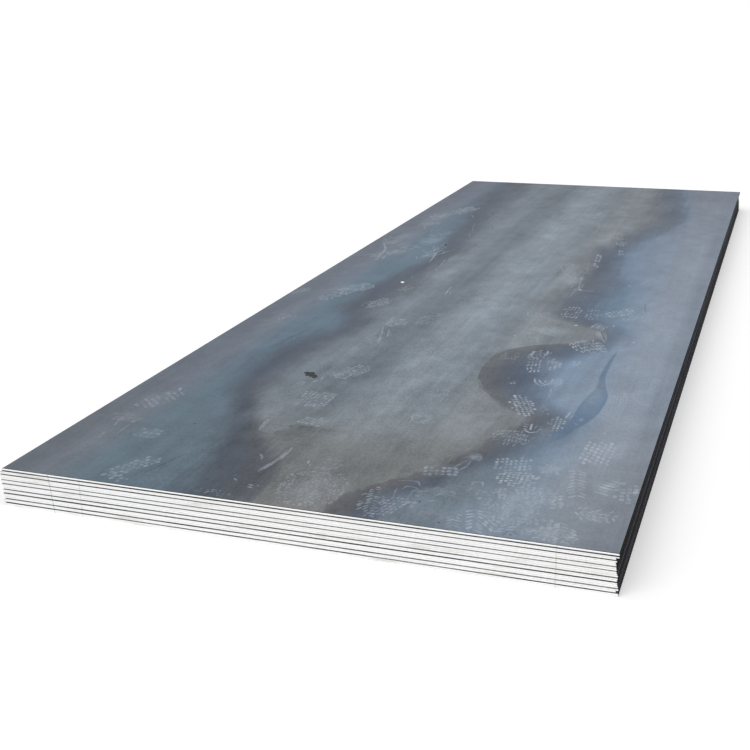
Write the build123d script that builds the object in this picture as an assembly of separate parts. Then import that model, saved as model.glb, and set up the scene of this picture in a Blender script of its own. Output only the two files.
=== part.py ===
from build123d import *
import os

# A stack of hot-rolled steel plates, laid flat one on another as they leave the cut-to-length line.
# Every plate is one rolled piece. Its long edges are as rolled, so they bulge, and its two ends are
# guillotine cuts, each with a rolled-over corner, a burnished band and a torn band that leans inward.
# The origin is at the middle of the stack's underside, on the floor. +X runs across the plates,
# +Y along them from the near end to the far end, and +Z up. All lengths are in millimetres.

# Driving dimensions of one plate
PLATE_WIDTH = 2000.0
PLATE_LENGTH = 6000.0
PLATE_THICKNESS = 6.0
MILL_EDGE_BULGE = 1.6  # how far the middle of a rolled edge stands out past its two corners
SHEAR_ROLLOVER = 0.5  # radius of the corner that the blade drew down
SHEAR_BURNISH = 2.4  # depth from that corner's face to the end of the smooth band
SHEAR_LEAN = 0.4  # how far the torn band falls back behind the smooth one

# Driving dimensions of the stack
BUNDLE_COUNTS = (2, 2, 3, 2, 3, 2, 3, 2, 1)  # plates that lie close together, from the floor up
CLOSE_SEAM = 0.4  # between two plates of one bundle, which is their waviness and scale
OPEN_SEAM = 0.95  # between two bundles

# How each plate was set down, from the floor up: across the stack, along it, and turned
SIDE_SHIFTS = (5, 4.5, -1, 4, 3, 1.5, -0.5, 1, 0.5, 1.5, -1, -3, -2, -5, -4.5, -5.5, -4, -5, 2.5, 3)
END_SHIFTS = (0.2, -1, 0, -0.8, 0.6, 0.1, -1.2, 0, -0.9, 0.5, 0, -0.9, 0.3, -0.7, 0.7, 0.2, -0.9, 0, -1, 0)
TURNS = (0, 0.01, -0.02, 0.02, 0, -0.01, 0.02, -0.02, 0.01, 0)  # degrees about +Z, then again


def rolled_section():
    """The plate seen along its length: flat faces between two bulging rolled edges."""
    corner = PLATE_WIDTH / 2 - MILL_EDGE_BULGE
    middle = PLATE_THICKNESS / 2
    with BuildSketch(Plane.XZ) as section:
        with BuildLine():
            Line((-corner, 0), (corner, 0))
            ThreePointArc((corner, 0), (PLATE_WIDTH / 2, middle), (corner, PLATE_THICKNESS))
            Line((corner, PLATE_THICKNESS), (-corner, PLATE_THICKNESS))
            ThreePointArc((-corner, PLATE_THICKNESS), (-PLATE_WIDTH / 2, middle), (-corner, 0))
        make_face()
    return section.sketch


def sheared_profile():
    """The plate seen from its side. The near end was cut from above and the far end from below."""
    end = PLATE_LENGTH / 2
    top = PLATE_THICKNESS
    with BuildSketch(Plane.YZ) as profile:
        with BuildLine():
            Line((-end + SHEAR_LEAN, 0), (end - SHEAR_ROLLOVER, 0))
            RadiusArc((end - SHEAR_ROLLOVER, 0), (end, SHEAR_ROLLOVER), -SHEAR_ROLLOVER)
            Line((end, SHEAR_ROLLOVER), (end, SHEAR_BURNISH))
            Line((end, SHEAR_BURNISH), (end - SHEAR_LEAN, top))
            Line((end - SHEAR_LEAN, top), (-end + SHEAR_ROLLOVER, top))
            RadiusArc((-end + SHEAR_ROLLOVER, top), (-end, top - SHEAR_ROLLOVER), -SHEAR_ROLLOVER)
            Line((-end, top - SHEAR_ROLLOVER), (-end, top - SHEAR_BURNISH))
            Line((-end, top - SHEAR_BURNISH), (-end + SHEAR_LEAN, 0))
        make_face()
    return profile.sketch


def plate():
    """One plate, with its underside at z 0: the rolled strip, cut to length by the two sheared ends."""
    strip = extrude(rolled_section(), PLATE_LENGTH, both=True)
    cut_length = extrude(sheared_profile(), PLATE_WIDTH, both=True)
    return strip & cut_length


def undersides():
    """The height of each plate's underside, from the floor up."""
    height = 0.0
    heights = []
    for plates_in_bundle in BUNDLE_COUNTS:
        for _ in range(plates_in_bundle):
            heights.append(height)
            height += PLATE_THICKNESS + CLOSE_SEAM
        height += OPEN_SEAM - CLOSE_SEAM
    return heights


def laid(blank, number, height):
    """A copy of the plate where it was set down on the stack."""
    shift = (SIDE_SHIFTS[number % len(SIDE_SHIFTS)], END_SHIFTS[number % len(END_SHIFTS)], height)
    return Location(shift, (0, 0, TURNS[number % len(TURNS)])) * blank


def main():
    os.makedirs("parts", exist_ok=True)
    blank = plate()
    plates = [laid(blank, number, height) for number, height in enumerate(undersides())]
    middle = Compound(plates).bounding_box().center()
    for number, piece in enumerate(plates, start=1):
        export_step(Pos(-middle.X, -middle.Y) * piece, f"parts/plate_{number:02d}.step")


main()
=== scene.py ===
"""Looks of a stack of hot-rolled steel plates: mill scale in temper tints, sheared ends and boot prints."""
import itertools
import math
import random
from collections import namedtuple

import bpy
from mathutils import Matrix, Vector


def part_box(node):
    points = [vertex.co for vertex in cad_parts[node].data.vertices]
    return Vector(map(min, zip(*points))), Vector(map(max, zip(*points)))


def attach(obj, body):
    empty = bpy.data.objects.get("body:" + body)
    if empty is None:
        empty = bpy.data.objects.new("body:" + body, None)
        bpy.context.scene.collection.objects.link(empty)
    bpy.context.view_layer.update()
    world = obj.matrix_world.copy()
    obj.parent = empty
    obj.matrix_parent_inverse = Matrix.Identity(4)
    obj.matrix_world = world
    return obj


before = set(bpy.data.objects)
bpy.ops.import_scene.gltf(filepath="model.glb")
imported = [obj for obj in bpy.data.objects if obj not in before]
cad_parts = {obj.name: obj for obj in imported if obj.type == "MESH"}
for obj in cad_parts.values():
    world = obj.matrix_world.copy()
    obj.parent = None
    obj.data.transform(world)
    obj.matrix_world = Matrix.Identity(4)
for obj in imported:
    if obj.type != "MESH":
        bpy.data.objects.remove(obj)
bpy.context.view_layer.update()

# Sizes read from the frame, in metres
PLATES = sorted(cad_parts)
TOP_PLATE = PLATES[-1]
TOP_LOW, TOP_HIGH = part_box(TOP_PLATE)
TOP_Z = TOP_HIGH.z
HALF_WIDTH = (TOP_HIGH.x - TOP_LOW.x) / 2
HALF_LENGTH = (TOP_HIGH.y - TOP_LOW.y) / 2
TOP_MIDDLE = (TOP_HIGH + TOP_LOW) / 2

# The camera of the photograph
EYE = Vector((1.355, -5.968, 1.629))
HEADING = math.radians(19.526)  # to the left of +Y
DIP = math.radians(18.426)  # below level
ROLL = math.radians(-0.819)
FOCAL_PX = 1186.8
FRAME_PX = 750
SENSOR_MM = 36.0
SIGHT = 200.0  # how far the camera sees, in metres

# The light and the floor
SKY_LIGHT = 0.51
SUN_TOWARDS = (0.4, 1.0, -0.8)
SUN_SPREAD = 60.0  # degrees
SUN_POWER = 1.65
FLOOR_REACH = 60.0  # metres to each side
FLOOR_WHITE = 0.86
FLOOR_GLOW = 0.34

# How the scale shines and how deep its relief is
SCALE_SPECULAR = 0.12
FLAKE_SPECULAR = 0.2
END_METALLIC = 0.55
RELIEF_DEPTH = 0.0004  # metres
RELIEF_STRENGTH = 0.6

# Tints as they look in plain daylight, in sRGB from 0 to 255
BAND_DARK = (108, 118, 126)
BAND_PALE = (138, 147, 155)
OLIVE_GREY = (116, 122, 125)
NEAR_GREY = (122, 125, 127)
BROWN_EDGE_LEFT = (98, 104, 112)
BROWN_LEFT = (79, 85, 95)
BROWN_EDGE_RIGHT = (101, 102, 106)
BROWN_RIGHT = (88, 93, 101)
NAVY_LEFT = (74, 85, 99)
NAVY_RIGHT = (80, 92, 109)
STEEL_BLUE = (96, 116, 130)
LILAC_LEFT = (111, 120, 132)
SIDE_DARK_LEFT = (102, 110, 121)
SLATE_BLUE = (100, 117, 135)
SKY_BLUE = (121, 139, 159)
PALE_BLUE = (133, 148, 164)
LILAC_RIGHT = (140, 150, 163)
LILAC_FAR = (132, 141, 153)
SEA_TEAL = (104, 128, 147)
SIDE_DARK_RIGHT = (127, 136, 148)
TEAL = (113, 128, 141)
DEEP_BLUE = (98, 122, 147)
END_STAIN = (196, 188, 178)
DUST = (177, 188, 201)
CHALK = (250, 250, 250)
# Black of the loose flake and of dark marks, also the painted shadow beside the chalk fleck
DARK_FLAKE_AND_SHADOW = (24, 26, 30)
# The rolled long edges: dark scale, with painted shade that makes them near black
MILL_EDGE_AND_SHADE = (27, 24, 25)
# Sheared steel on the ends: bright bare metal, lifted to near white by painted light
BRIGHT_CUT_AND_LIGHT = (249, 249, 248)
TORN_CUT_AND_LIGHT = (243, 243, 243)
# Dark scale for the thin lines down the sheared ends and the rim of the top face, and painted shade on the
# ends by the seams between plates
DARK_SCALE_AND_SEAM_SHADE = (38, 38, 40)

# How pale the rolled streaks are across the middle of the plate: (x, share)
BAND_STREAKS = [
    (-0.55, 0.1), (-0.44, 0.3), (-0.33, 0.5), (-0.26, 0.1), (-0.18, 0.0), (-0.11, 0.6), (-0.04, 1.0),
    (0.04, 1.0), (0.14, 0.65), (0.22, 0.45), (0.30, 0.75), (0.40, 0.5),
]
# How much warmer the streaks right of the middle are, as factors on red, green and blue
BAND_WARMTH = (1.055, 1.0, 0.945)
# Where the temper tints run along the top plate: (y, x) stations, from the near end to the far end
NAVY_LEFT_LINE = [
    (-3.0, -0.31), (-2.8, -0.33), (-2.6, -0.38), (-2.4, -0.43), (-2.2, -0.50), (-2.0, -0.585),
    (-1.8, -0.61), (-1.5, -0.59), (-1.3, -0.54), (-1.1, -0.485), (-1.0, -0.505), (-0.85, -0.58),
    (-0.6, -0.60), (-0.2, -0.575), (0.0, -0.555), (0.3, -0.51), (0.6, -0.515), (1.0, -0.55), (1.4, -0.57),
    (1.8, -0.63), (2.2, -0.67), (3.0, -0.67),
]
INNER_LEFT_LINE = [
    (-3.0, -0.085), (-2.85, -0.08), (-2.7, -0.10), (-2.55, -0.18), (-2.4, -0.28), (-2.2, -0.40),
    (-2.0, -0.43), (-1.8, -0.41), (-1.5, -0.40), (-1.3, -0.37), (-1.1, -0.35), (-0.85, -0.36),
    (-0.5, -0.32), (-0.1, -0.36), (0.3, -0.37), (0.6, -0.30), (1.0, -0.38), (1.6, -0.38), (2.2, -0.38),
    (3.0, -0.40),
]
NAVY_RIGHT_LINE = [
    (-3.0, 0.25), (-2.85, 0.28), (-2.7, 0.36), (-2.5, 0.45), (-2.35, 0.54), (-2.2, 0.57), (-2.05, 0.61),
    (-1.95, 0.56), (-1.8, 0.44), (-1.6, 0.39), (-1.4, 0.41), (-1.25, 0.48), (-1.12, 0.58), (-1.02, 0.65),
    (-0.93, 0.655), (-0.86, 0.64), (-0.78, 0.59), (-0.70, 0.52), (-0.62, 0.49), (-0.4, 0.46), (-0.16, 0.48),
    (0.0, 0.49), (0.2, 0.45), (0.6, 0.42), (0.9, 0.43), (1.2, 0.49), (1.5, 0.58), (1.9, 0.66), (2.2, 0.62),
    (2.6, 0.56), (3.0, 0.52),
]
INNER_RIGHT_LINE = [
    (-3.0, 0.108), (-2.9, 0.122), (-2.8, 0.168), (-2.7, 0.245), (-2.6, 0.32), (-2.45, 0.385), (-2.3, 0.41),
    (-2.15, 0.47), (-2.05, 0.50), (-1.95, 0.40), (-1.85, 0.345), (-1.75, 0.287), (-1.6, 0.238),
    (-1.45, 0.228), (-1.3, 0.255), (-1.2, 0.32), (-1.12, 0.42), (-1.03, 0.55), (-0.94, 0.62), (-0.86, 0.56),
    (-0.77, 0.42), (-0.6, 0.23), (-0.4, 0.16), (-0.25, 0.18), (-0.1, 0.26), (0.0, 0.30), (0.3, 0.25),
    (0.7, 0.17), (1.0, 0.29), (1.2, 0.33), (1.7, 0.36), (2.2, 0.36), (3.0, 0.36),
]
# How strong the dark band is along the plate, and how soft its inner edge: (y, share)
DEPTH_LEFT = [
    (-3.0, 1.0), (-2.75, 1.0), (-2.4, 1.0), (-2.1, 0.95), (-1.8, 1.0), (-1.4, 0.9), (-0.9, 0.9),
    (-0.4, 0.95), (0.2, 0.9), (0.8, 0.9), (1.1, 0.95), (1.4, 0.85), (2.2, 0.85), (3.0, 0.9),
]
DEPTH_RIGHT = [
    (-3.0, 1.0), (-2.8, 1.0), (-2.6, 0.9), (-1.9, 0.85), (-1.5, 1.0), (-1.15, 0.95), (-1.03, 0.6),
    (-0.86, 0.55), (-0.75, 0.9), (-0.5, 0.95), (-0.2, 0.9), (0.2, 0.95), (0.7, 0.95), (1.2, 0.75),
    (1.7, 0.75), (2.2, 0.95), (3.0, 0.85),
]
SOFT_LEFT = [
    (-3.0, 0.14), (-2.75, 0.2), (-2.6, 0.45), (-2.3, 0.8), (-1.0, 0.95), (-0.1, 0.9), (0.15, 0.6),
    (0.4, 0.7), (0.8, 0.95), (3.0, 0.95),
]
SOFT_RIGHT = [
    (-3.0, 0.1), (-2.7, 0.12), (-2.45, 0.4), (-2.05, 0.5), (-1.85, 0.2), (-1.7, 0.07), (-1.2, 0.07),
    (-1.05, 0.5), (-0.7, 0.75), (-0.3, 0.9), (-0.05, 0.6), (0.3, 0.7), (0.6, 0.9), (1.0, 0.9), (3.0, 0.9),
]
# How far the dark band takes to fade into the blue outside it, in metres
FADE_LEFT = [
    (-3.0, 0.12), (-2.4, 0.10), (-2.0, 0.13), (-1.5, 0.17), (-1.0, 0.12), (-0.5, 0.13), (-0.1, 0.09),
    (0.5, 0.08), (1.2, 0.13), (1.8, 0.19), (3.0, 0.17),
]
FADE_RIGHT = [
    (-3.0, 0.07), (-2.5, 0.09), (-2.1, 0.09), (-1.7, 0.15), (-1.3, 0.17), (-1.08, 0.07), (-0.95, 0.04),
    (-0.85, 0.04), (-0.7, 0.11), (-0.3, 0.16), (0.3, 0.13), (1.0, 0.12), (2.0, 0.09), (3.0, 0.12),
]
# Brightness along the plate, as a factor: all of it, and the outer part on the right. Its fall towards the
# far end is painted shade, which offsets the sheen there at a grazing view
ALONG = [
    (-3.0, 1.015), (-2.7, 0.99), (-2.2, 0.99), (-1.5, 0.985), (-0.6, 1.005), (0.2, 1.01), (0.8, 0.99),
    (1.4, 0.94), (2.0, 0.895), (2.6, 0.84), (3.0, 0.815),
]
ALONG_RIGHT = [
    (-3.0, 0.92), (-2.7, 1.015), (-2.4, 1.095), (-1.8, 1.13), (-1.2, 1.105), (-0.6, 1.045), (0.0, 1.0),
    (0.6, 0.98), (1.2, 0.965), (1.7, 0.975), (2.1, 0.985), (2.6, 0.92), (3.0, 0.845),
]
# The colour cast at the far end, in the middle and at the near end, as factors on red, green and blue; the
# bluer cast at the far end is a painted reflection of sky haze
FAR_CAST = (0.946, 0.985, 1.052)
MIDDLE_CAST = (0.956, 0.988, 1.034)
NEAR_CAST = (1.002, 0.985, 0.968)
# The sharp blue finger where the scale came off, as a middle line and a half width
FINGER_LINE = [
    (-3.0, 0.655), (-2.3, 0.655), (-2.2, 0.673), (-2.1, 0.690), (-2.03, 0.714), (-1.95, 0.727),
    (-1.85, 0.733), (-1.7, 0.740), (-1.6, 0.732), (-1.45, 0.718), (-1.3, 0.719), (-1.1, 0.725),
    (3.0, 0.725),
]
FINGER_HALF = [
    (-3.0, 0.0), (-2.34, 0.0), (-2.2, 0.021), (-2.1, 0.034), (-2.03, 0.036), (-1.95, 0.043), (-1.85, 0.046),
    (-1.72, 0.038), (-1.62, 0.022), (-1.5, 0.015), (-1.3, 0.012), (-1.15, 0.008), (-1.04, 0.0), (3.0, 0.0),
]
STATION_REACH = 3.1  # a curve's stations lie between minus and plus this, in metres
HIGHEST_FACTOR = 1.5  # a colour's factors stay under this, and its tints of 0 to 255 reach past it

# Boot prints on the top plate. Turn is in degrees, anticlockwise from +y; dust and kept are shares; size
# scales the sole's pattern; rise is how much its rows climb to one side; lean is how far its lugs turn
# against the sole, in degrees.
Print = namedtuple("Print", "x y turn width length dust kept size rise lean", defaults=(1.0, 0.0, 0.0))
TREADS = {
    "block": [
        (-0.595, -2.855, -27, 0.08, 0.20, 0.50, 0.95, 0.95, 0.4, 10),
        (-0.585, -2.955, -10, 0.07, 0.05, 0.55, 0.90, 0.9, 0.4, 10),
        (-0.695, -2.57, 0, 0.10, 0.08, 0.35, 0.80, 1.25, 0.0, 20),
        (-0.855, -2.455, -10, 0.13, 0.08, 0.28, 0.75, 1.1, 0.2),
        (-0.185, -2.295, -15, 0.11, 0.09, 0.60, 0.90, 0.9), (0.375, -2.59, 12, 0.13, 0.09, 0.63, 0.95),
        (0.355, -2.82, 4, 0.035, 0.13, 0.40, 0.90, 1.1),
        (0.962, -2.585, 5, 0.075, 0.15, 0.65, 0.92, 1.0, 0.3),
        (0.775, -2.70, 8, 0.05, 0.13, 0.85, 0.95, 1.0, 0.5), (0.775, -2.875, 5, 0.06, 0.09, 0.75, 0.90),
        (0.54, -2.73, 0, 0.03, 0.07, 0.50, 0.90), (0.49, -1.91, 22, 0.085, 0.22, 0.90, 0.95, 0.85),
        (0.58, -1.93, 10, 0.05, 0.10, 0.35, 0.80, 0.9),
        (0.505, -1.385, 5, 0.055, 0.16, 0.70, 0.90, 0.9, 0.6, -20),
        (0.59, -1.35, 0, 0.045, 0.08, 0.60, 0.90, 0.9, 0.3), (0.42, -1.28, 10, 0.09, 0.12, 0.50, 0.85, 0.8),
        (0.37, -0.10, 5, 0.07, 0.16, 0.35, 0.75, 0.9, 0.3),
        (0.375, 0.52, 5, 0.05, 0.34, 0.70, 0.85, 0.9, 0.3),
        (0.47, 0.75, 10, 0.05, 0.16, 0.60, 0.85, 0.9, 0.3),
        (0.43, 1.03, 12, 0.06, 0.20, 0.45, 0.80, 0.9, 0.3),
        (0.26, 0.32, 0, 0.08, 0.22, 0.35, 0.75, 0.9, 0.3),
        (0.30, 0.10, 0, 0.08, 0.18, 0.35, 0.75, 1.0, 0.2),
        (-0.705, -0.44, -22, 0.12, 0.24, 0.70, 0.92, 0.8, 0.4),
        (-0.77, -0.62, -22, 0.10, 0.18, 0.50, 0.85, 0.8, 0.4),
        (-0.30, -0.99, -5, 0.08, 0.14, 0.55, 0.88, 0.8, 0.3),
        (-0.18, -0.88, -10, 0.08, 0.22, 0.35, 0.75, 0.8, 0.3),
        (-0.25, -1.72, -18, 0.10, 0.20, 0.50, 0.90, 0.9, 0.3),
        (-0.31, -1.24, -15, 0.09, 0.20, 0.35, 0.75, 0.9, 0.3),
        (-0.505, -0.68, -20, 0.09, 0.18, 0.60, 0.88, 0.9, 0.3), (0.287, -0.653, 15, 0.10, 0.15, 0.35, 0.70),
        (-0.74, 0.56, -25, 0.10, 0.18, 0.45, 0.80), (-0.82, 1.28, -25, 0.10, 0.20, 0.40, 0.80),
        (0.02, -2.66, -10, 0.09, 0.12, 0.20, 0.50),
    ],
    "oval": [
        (-0.830, -2.245, -22, 0.105, 0.20, 0.48, 0.90, 0.90, -0.40, 20),
        (0.83, -2.29, -3, 0.115, 0.21, 0.98, 0.98, 1.0, -0.60, 12),
        (0.645, -0.54, -31, 0.075, 0.19, 0.95, 0.95, 0.8, -0.67),
        (0.71, -0.61, -31, 0.06, 0.13, 0.50, 0.85, 0.8, -0.67),
        (0.30, -2.895, -15, 0.07, 0.16, 0.65, 0.95, 0.75, 0.4),
        (0.585, -2.465, 8, 0.13, 0.12, 0.65, 0.92, 0.85, 0.3, 8),
        (0.65, -2.06, 3, 0.045, 0.17, 0.75, 0.95, 0.8, 0.3),
        (0.66, -2.83, 15, 0.12, 0.14, 0.50, 0.80, 0.8, -0.3),
        (-0.66, 1.00, -25, 0.09, 0.18, 0.40, 0.75, 0.9, 0.3),
        (0.39, 1.20, 10, 0.08, 0.20, 0.30, 0.70, 0.9, 0.3),
    ],
    "small": [
        (0.63, -2.58, 0, 0.14, 0.11, 0.85, 0.95, 1.05, 0.1),
        (0.66, -2.70, 15, 0.15, 0.14, 0.60, 0.85, 1.2, 0.2), (0.71, -2.47, 0, 0.07, 0.08, 0.65, 0.85),
        (0.172, -2.145, 0, 0.075, 0.11, 0.45, 0.85), (-0.27, -2.07, 0, 0.15, 0.18, 0.58, 0.85, 1.15),
        (0.53, -0.59, 5, 0.08, 0.20, 0.45, 0.80, 1.1, 0.3), (-0.96, -0.56, -20, 0.06, 0.14, 0.40, 0.80),
        (-0.455, -0.37, -10, 0.07, 0.11, 0.55, 0.88), (0.16, -1.887, 10, 0.10, 0.14, 0.30, 0.70),
        (0.26, 0.34, 10, 0.10, 0.14, 0.25, 0.60), (-0.84, 0.347, -25, 0.10, 0.16, 0.45, 0.80, 1.2),
        (-0.91, 0.78, -25, 0.09, 0.16, 0.40, 0.70, 1.2), (-0.728, 1.82, -25, 0.11, 0.24, 0.75, 0.85, 1.3),
        (-0.84, 1.56, -25, 0.10, 0.20, 0.55, 0.80, 1.3),
    ],
    "chevron": [
        (0.90, -2.77, 88, 0.09, 0.13, 0.70, 0.92, 0.8), (0.808, -2.56, 10, 0.080, 0.21, 0.65, 0.88, 1.05),
        (0.243, -2.875, 12, 0.07, 0.21, 0.55, 0.95, 0.75), (0.572, -2.915, 12, 0.085, 0.15, 0.90, 0.98),
        (0.648, -2.92, 172, 0.085, 0.12, 0.85, 0.98, 0.9), (0.515, -2.93, 12, 0.05, 0.10, 0.45, 0.90, 0.9),
        (0.715, -2.69, 15, 0.11, 0.14, 0.65, 0.90, 0.8), (0.825, -2.92, 10, 0.08, 0.12, 0.80, 0.90, 0.85),
        (0.42, -2.77, 10, 0.09, 0.10, 0.30, 0.60), (-0.04, -1.367, -15, 0.09, 0.13, 0.30, 0.70),
        (-0.84, -1.033, -30, 0.07, 0.10, 0.45, 0.80), (-0.57, 0.56, -20, 0.09, 0.14, 0.40, 0.70),
        (-0.68, 0.86, -20, 0.10, 0.20, 0.40, 0.70),
    ],
    "bar": [
        (0.905, -2.56, 68, 0.13, 0.055, 0.85, 0.98, 1.25),
        (0.525, -2.235, -15, 0.14, 0.14, 0.55, 0.90, 0.7, 0.3),
        (0.43, -1.42, 8, 0.075, 0.19, 0.64, 0.95, 0.9, 0.4),
        (0.60, -1.11, 30, 0.14, 0.19, 0.90, 0.95, 0.85, 0.2), (0.43, -0.58, 0, 0.10, 0.22, 0.55, 0.95, 0.9),
        (0.83, -1.74, 5, 0.10, 0.17, 0.35, 0.80, 0.7), (0.31, -1.33, 10, 0.08, 0.14, 0.20, 0.80, 0.8),
        (-0.373, -1.867, -20, 0.08, 0.10, 0.35, 0.70),
    ],
    "grain": [
        (0.03, -2.84, 12, 0.21, 0.26, 0.50, 0.85), (0.655, -2.78, 5, 0.17, 0.28, 0.60, 0.80),
        (0.80, -2.95, 0, 0.16, 0.08, 0.70, 0.80), (-0.25, -2.96, 0, 0.12, 0.05, 0.40, 0.60),
    ],
}
# The pattern of each sole: its lugs and their pitch in metres, their slant in degrees, how much the rows bow
# and how far a lug strays
SOLES = {
    "block": {"Lug Width": 0.0165, "Lug Length": 0.0220, "Column Pitch": 0.0190, "Row Pitch": 0.0250,
              "Slant": 0.0, "Row Bow": 0.10, "Jitter": 0.0026},
    "oval": {"Lug Width": 0.0130, "Lug Length": 0.0240, "Column Pitch": 0.0180, "Row Pitch": 0.0285,
             "Slant": 0.0, "Row Bow": 0.0, "Jitter": 0.0010},
    "small": {"Lug Width": 0.0120, "Lug Length": 0.0135, "Column Pitch": 0.0145, "Row Pitch": 0.0160,
              "Slant": 12.0, "Row Bow": 0.10, "Jitter": 0.0028},
    "chevron": {"Lug Width": 0.0105, "Lug Length": 0.0320, "Column Pitch": 0.0290, "Row Pitch": 0.0230,
                "Slant": 50.0, "Row Bow": 0.12, "Jitter": 0.0030},
    "bar": {"Lug Width": 0.0115, "Lug Length": 0.0420, "Column Pitch": 0.0170, "Row Pitch": 0.0460,
            "Slant": 6.0, "Row Bow": 0.20, "Jitter": 0.0010},
    "grain": {"Lug Width": 0.0085, "Lug Length": 0.0120, "Column Pitch": 0.0120, "Row Pitch": 0.0140,
              "Slant": 35.0, "Row Bow": 0.10, "Jitter": 0.0045},
}
PRINT_FILM = 0.00015  # how high the dust of a print stands, in metres
PRINT_SIDE_MARGIN = 0.012  # lugs stay this far inside the rolled edges
PRINT_END_MARGIN = 0.014  # and this far inside the sheared ends
ROW_DROP = -15.0  # how a row with a bow of 1 falls away from its middle, in metres to the square metre
LATTICE_ROWS = 21
LATTICE_COLUMNS = 20
LUG_CORNERS = 8
LUG_TOP = 0.46  # radius as a share of the lug's size
LUG_FOOT = 0.54
FIRST_PRINT_SEED = 3

# Soft smears on the top plate, pale or dark by their tone:
# x, y, half width, half length, turn in degrees, tone
SMEARS = [
    (0.66, -2.76, 0.12, 0.195, 8, 0.32), (0.70, -2.66, 0.12, 0.14, 10, 0.12),
    (0.56, -2.75, 0.08, 0.14, 10, 0.2), (0.27, -2.86, 0.08, 0.11, 12, 0.15),
    (0.03, -2.835, 0.12, 0.135, 12, 0.32), (-0.27, -2.08, 0.09, 0.12, 0, 0.2),
    (-0.18, -2.30, 0.08, 0.07, -15, 0.18), (-0.18, -2.365, 0.14, 0.05, 0, -0.55),
    (-0.23, -2.42, 0.15, 0.06, 0, -0.40), (0.71, -2.47, 0.05, 0.055, 0, 0.5),
    (0.73, -1.70, 0.05, 0.26, 0, 0.28), (0.725, -1.08, 0.05, 0.24, 0, 0.3),
    (0.33, -2.12, 0.15, 0.30, 0, 0.2), (0.33, 0.02, 0.05, 0.13, 5, 0.3),
    (-0.86, -1.05, 0.08, 0.35, -3, 0.12), (0.45, -2.91, 0.09, 0.065, 0, 0.22),
    (0.635, -1.80, 0.06, 0.22, 0, 0.22), (0.72, -2.38, 0.06, 0.18, 0, 0.18),
    (-0.23, 2.28, 0.12, 0.60, 0, -0.26), (0.20, 2.58, 0.16, 0.33, 0, -0.16),
    (0.68, 2.75, 0.12, 0.18, 0, -0.12), (0.56, -1.93, 0.05, 0.10, 0, 0.15),
    (0.80, -2.93, 0.12, 0.05, 0, 0.4), (0.59, -2.895, 0.09, 0.08, 10, 0.18),
    (0.375, -2.58, 0.09, 0.08, 12, 0.2), (0.45, -2.445, 0.030, 0.036, 0, 0.5),
    (0.625, -2.13, 0.04, 0.22, -8, 0.2), (0.555, -1.615, 0.035, 0.065, -5, 0.38),
    (0.58, -1.10, 0.09, 0.11, 20, 0.15), (0.46, -1.38, 0.09, 0.14, 5, 0.14),
    (0.59, -0.79, 0.05, 0.06, 10, 0.3), (0.62, -0.92, 0.028, 0.10, 17, 0.6),
    (0.83, -2.30, 0.08, 0.14, 0, 0.12), (0.52, -2.24, 0.10, 0.10, -10, 0.14),
    (0.49, -1.92, 0.07, 0.14, 22, 0.15), (0.80, -2.56, 0.06, 0.13, 10, 0.15),
    (0.90, -2.57, 0.06, 0.09, 5, 0.18), (0.90, -2.775, 0.08, 0.05, 0, 0.15),
    (-0.60, -2.86, 0.06, 0.11, -27, 0.12), (-0.84, -2.24, 0.08, 0.14, -5, 0.12),
    (-0.86, -2.45, 0.10, 0.06, -10, 0.16), (-0.70, -2.57, 0.07, 0.06, 0, 0.14),
    (-0.36, -2.20, 0.09, 0.26, -25, 0.18), (-0.30, -2.42, 0.07, 0.16, -30, 0.15),
    (0.18, -2.14, 0.05, 0.07, 0, 0.24), (-0.74, 0.45, 0.05, 0.13, -15, 0.35),
    (-0.89, 0.68, 0.05, 0.14, -15, 0.32), (-0.65, 0.77, 0.05, 0.14, -10, 0.3),
    (-0.57, 0.40, 0.045, 0.12, -10, 0.32), (-0.73, 1.72, 0.06, 0.14, -20, 0.22),
    (-0.83, 1.50, 0.07, 0.22, -15, 0.2), (-0.35, 0.00, 0.05, 0.18, -8, 0.3),
    (-0.78, 0.43, 0.035, 0.10, -10, 0.45), (-0.68, 0.78, 0.05, 0.12, -10, 0.35),
    (0.28, 0.15, 0.06, 0.14, 10, 0.25), (0.72, 0.15, 0.06, 0.16, -10, 0.18),
    (-0.87, 0.85, 0.05, 0.12, 0, 0.3), (0.36, -1.04, 0.07, 0.12, 5, 0.22),
    (0.38, -0.93, 0.15, 0.11, 0, 0.5), (0.27, -0.70, 0.09, 0.14, 0, 0.15),
    (0.36, 0.30, 0.05, 0.35, 0, 0.18), (0.15, 1.75, 0.10, 0.35, 0, 0.15),
    (-0.76, -0.46, 0.09, 0.18, -30, 0.2), (-0.95, -0.56, 0.035, 0.10, -10, 0.2),
    (0.40, -2.10, 0.10, 0.14, 10, 0.2), (-0.22, -2.82, 0.12, 0.15, 0, -0.10),
    (-0.25, -2.66, 0.10, 0.14, -25, -0.08), (0.40, -2.74, 0.08, 0.03, 0, 0.2),
    (-0.45, 0.15, 0.05, 0.25, -5, 0.15), (0.38, 0.95, 0.05, 0.25, 10, 0.18),
    (0.42, 1.45, 0.05, 0.25, 10, 0.15), (-0.45, 2.15, 0.08, 0.30, -5, 0.15),
    (0.55, 2.3, 0.08, 0.40, 0, 0.12),
]
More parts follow.
